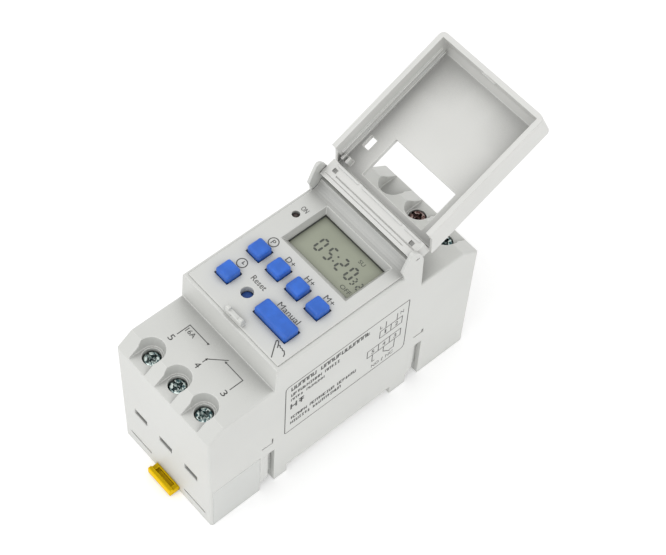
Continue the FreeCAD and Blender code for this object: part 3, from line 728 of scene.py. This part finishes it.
class TIMER_OT_side_print(bpy.types.Operator):
    """Print the frame, the wiring diagram and the rows of small signs on the side"""
    bl_idname = "timer.side_print"
    bl_label = "Side Print"

    def execute(self, context):
        want = context.scene.timer_ink
        ink = printed_ink("side_ink", want.ink_colour)
        plane = flat_on_side(SIDE_FACE)
        self.border(plane, ink, want.line_width)
        self.diagram(plane, ink, want.line_width)
        self.rows(plane, ink)
        return {"FINISHED"}

    def border(self, plane, ink, width):
        bm = bmesh.new()
        outline = rounded_box(-20.3 * MM, 20.5 * MM, 18.0 * MM, 41.0 * MM,
                              (0.6 * MM, 1.4 * MM, 0.4 * MM, 1.2 * MM))
        add_line(bm, outline, width, closed=True)
        print_piece("side_border", bm, plane, ink)

    def diagram(self, plane, ink, width):
        """Two supply terminals over the three of the changeover contact."""
        pitch, left, high, low = BOX_PITCH, 7.1, 32.1, 26.1
        bm = bmesh.new()
        boxes = [(left + pitch, high, 2, "12"), (left, low, 3, "543")]
        for x, y, count, names in boxes:
            outline = [(x, y), (x + count * pitch, y), (x + count * pitch, y + BOX_HEIGHT),
                       (x, y + BOX_HEIGHT)]
            add_line(bm, [(a * MM, b * MM) for a, b in outline], width, closed=True)
            for i in range(1, count):
                bar = (x + i * pitch) * MM
                add_line(bm, [(bar, y * MM), (bar, (y + BOX_HEIGHT) * MM)], width)
            for i, name in enumerate(names):
                centre = ((x + (i + 0.5) * pitch) * MM, (y + 1.6) * MM)
                add_words(bm, name, centre, (0.5 if name == "1" else 1.0) * MM, 1.7 * MM)
        centres = [left + (i + 0.5) * pitch for i in range(3)]
        leads = [
            [(centres[1], high + BOX_HEIGHT), (centres[1], high + 6.3)],
            [(centres[2], high + BOX_HEIGHT), (centres[2], high + 6.3)],
            [(centres[0], low), (centres[0], low - 3.5), (centres[0] + 0.9, low - 3.5)],
            [(centres[1], low), (centres[1], low - 2.3), (centres[2] - 1.4, low - 4.4)],
            [(centres[2], low), (centres[2], low - 3.9), (centres[2] - 1.6, low - 3.9)],
        ]
        for lead in leads:
            add_line(bm, [(a * MM, b * MM) for a, b in lead], width)
        for word, x, y, length in (("L", 11.2, 37.2, 0.9), ("N", 18.2, 37.6, 1.1), ("NO", 10.3, 20.1, 2.6),
                                   ("NC", 15.2, 20.1, 2.6)):
            add_words(bm, word, (x * MM, y * MM), length * MM, 1.4 * MM)
        add_line(bm, [(12.55 * MM, 19.3 * MM), (12.85 * MM, 20.9 * MM)], width)
        print_piece("side_diagram", bm, plane, ink)

    def rows(self, plane, ink):
        """Rows of short strokes that stand for lines of small print."""
        rng = random.Random(7)
        rows = [(38.0, 1.7, 26.0, (6, 12)), (35.2, 1.3, 16.0, (10, 5)), (32.9, 1.1, 11.0, (4, 6)),
                (29.0, 2.4, 5.0, (2,)), (23.6, 1.3, 22.0, (6, 9, 7)), (21.2, 1.3, 17.0, (7, 10))]
        bm = bmesh.new()
        for y, height, length, words in rows:
            step = length / (sum(words) + len(words) - 1)
            x = -18.4
            for count in words:
                for _ in range(count):
                    self.stroke_sign(bm, rng, x * MM, y * MM, step * 0.66 * MM, height * MM)
                    x += step
                x += step
        print_piece("side_rows", bm, plane, ink)

    def stroke_sign(self, bm, rng, x, y, width, height):
        """A meaningless sign: one or two uprights joined by one or two short bars."""
        pen = 0.21 * height
        double = rng.random() < 0.55
        for place in (x, x + width) if double else (rng.choice((x, x + width / 2)),):
            add_line(bm, [(place, y), (place, y + height)], pen)
        for level in rng.sample((0.09, 0.5, 0.91), 1 if double else 2):
            add_line(bm, [(x, y + level * height), (x + width, y + level * height)], pen)


class TIMER_OT_metalwork(bpy.types.Operator):
    """Finish the terminal screws, the clamping cages and the busbars"""
    bl_idname = "timer.metalwork"
    bl_label = "Terminals"

    def execute(self, context):
        screws = ["screw_%d" % i for i in (1, 3, 4, 5)]
        cages = ["cage_%d" % i for i in range(1, 6)]
        # On the screws the dark second colour is partly painted dark reflection.
        coat_node(plated_metal("zinc_blue", (0.78, 0.88, 0.84), (0.05, 0.11, 0.12), 0.16), *screws)
        coat_node(plated_metal("zinc_red", (0.42, 0.33, 0.31), (0.10, 0.045, 0.04), 0.2), "screw_2")
        coat_node(plated_metal("cage_zinc", (0.55, 0.55, 0.52), (0.40, 0.40, 0.33), 0.34), *cages)
        coat_node(plated_metal("busbar_brass", (0.72, 0.52, 0.24), (0.52, 0.33, 0.13), 0.3), "output_strips",
                  "supply_strips")
        coat_node(plated_metal("nickel", (0.62, 0.60, 0.56), (0.45, 0.43, 0.40), 0.28), "board_link",
                  "clock_crystal", "backup_battery")
        return {"FINISHED"}


class TIMER_OT_electronics(bpy.types.Operator):
    """Finish the boards and the components inside the case"""
    bl_idname = "timer.electronics"
    bl_label = "Electronics"

    def execute(self, context):
        coat_node(board_laminate("board_green", (0.02, 0.13, 0.045)), "control_board", "power_board")
        coat_node(plain_shell("chip_black", (0.02, 0.02, 0.022), 0.55), "controller_chip")
        coat_node(plain_shell("relay_black", (0.018, 0.018, 0.02), 0.4), "relay")
        coat_node(plain_shell("capacitor_yellow", (0.75, 0.50, 0.05), 0.4), "x2_capacitor")
        coat_node(plain_shell("can_sleeve", (0.02, 0.03, 0.10), 0.3, coat=0.3), "electrolytics")
        coat_node(plain_shell("varistor_blue", (0.03, 0.12, 0.40), 0.45), "varistor")
        coat_node(plain_shell("resistor_beige", (0.55, 0.42, 0.26), 0.5), "resistors")
        coat_node(plain_shell("silicone_grey", (0.42, 0.44, 0.45), 0.62), "keypad_mat")
        coat_node(plain_shell("carbon_pad", (0.012, 0.012, 0.012), 0.7), "key_contacts")
        return {"FINISHED"}


class TIMER_OT_stage(bpy.types.Operator):
    """Lay the floor and set the lights and the camera"""
    bl_idname = "timer.stage"
    bl_label = "Studio"

    def execute(self, context):
        want = context.scene.timer_stage
        self.floor(want)
        self.sky(context.scene, want)
        self.light("key_light", (0.05, -0.3, 0.9), 0.9, want.key_light)
        self.light("fill_light", (-0.2, -0.8, 0.35), 0.8, want.key_light * 0.12)
        self.camera(context.scene, want)
        return {"FINISHED"}

    def floor(self, want):
        bm = bmesh.new()
        height = CAD_BOX[0].z
        place = Matrix.Translation((0, 0, height))
        bmesh.ops.create_grid(bm, x_segments=4, y_segments=4, size=1.6, matrix=place)
        mesh = bpy.data.meshes.new("floor")
        bm.to_mesh(mesh)
        bm.free()
        mesh.materials.append(studio_floor("floor_white", want.floor_colour, want.floor_glow))
        made = bpy.data.objects.new("floor", mesh)
        bpy.context.scene.collection.objects.link(made)

    def sky(self, scene, want):
        world = bpy.data.worlds.new("studio_sky")
        world.use_nodes = True
        background = next(n for n in world.node_tree.nodes if n.type == "BACKGROUND")
        background.inputs["Color"].default_value = (1, 1, 1, 1)
        background.inputs["Strength"].default_value = want.sky_strength
        scene.world = world

    def light(self, name, place, size, power):
        data = bpy.data.lights.new(name, "AREA")
        data.shape = "SQUARE"
        data.size = size
        data.energy = power
        made = bpy.data.objects.new(name, data)
        made.location = place
        made.rotation_mode = "QUATERNION"
        made.rotation_quaternion = (-Vector(place)).to_track_quat("-Z", "Y")
        bpy.context.scene.collection.objects.link(made)

    def camera(self, scene, want):
        data = bpy.data.cameras.new("camera")
        data.lens = want.lens
        data.clip_start = 0.01
        made = bpy.data.objects.new("camera", data)
        a, e = want.azimuth, want.elevation
        back = Vector((sin(a) * cos(e), -cos(a) * cos(e), sin(e)))
        aim = Vector((-6.0, 16.4, 26.7)) * MM
        made.location = aim + back * want.distance
        made.rotation_mode = "QUATERNION"
        made.rotation_quaternion = (-back).to_track_quat("-Z", "Y") @ Quaternion((0, 0, 1), want.roll)
        scene.collection.objects.link(made)
        scene.camera = made


OPERATORS = (TIMER_OT_plastics, TIMER_OT_keys, TIMER_OT_display, TIMER_OT_legends, TIMER_OT_terminal_marks,
             TIMER_OT_side_print, TIMER_OT_metalwork, TIMER_OT_electronics, TIMER_OT_stage)


class TIMER_PT_sidebar(bpy.types.Panel):
    """The timer's sizes, colours and operators"""
    bl_idname = "TIMER_PT_sidebar"
    bl_label = "DIN Rail Timer"
    bl_space_type = "VIEW_3D"
    bl_region_type = "UI"
    bl_category = "Timer"

    def draw(self, context):
        for name, group in PROPERTY_GROUPS.items():
            column = self.layout.column(align=True)
            for key in group.__annotations__:
                column.prop(getattr(context.scene, name), key)
        column = self.layout.column(align=True)
        for operator in OPERATORS:
            column.operator(operator.bl_idname)


def register():
    for group in PROPERTY_GROUPS.values():
        bpy.utils.register_class(group)
    for name, group in PROPERTY_GROUPS.items():
        setattr(bpy.types.Scene, name, bpy.props.PointerProperty(type=group))
    for operator in OPERATORS:
        bpy.utils.register_class(operator)
    bpy.utils.register_class(TIMER_PT_sidebar)


def unregister():
    bpy.utils.unregister_class(TIMER_PT_sidebar)
    for operator in reversed(OPERATORS):
        bpy.utils.unregister_class(operator)
    for name, group in PROPERTY_GROUPS.items():
        delattr(bpy.types.Scene, name)
        bpy.utils.unregister_class(group)


def main():
    register()
    bpy.context.scene.view_settings.view_transform = "Standard"
    for operator in OPERATORS:
        family, name = operator.bl_idname.split(".")
        getattr(getattr(bpy.ops, family), name)()


if __name__ == "__main__":
    main()
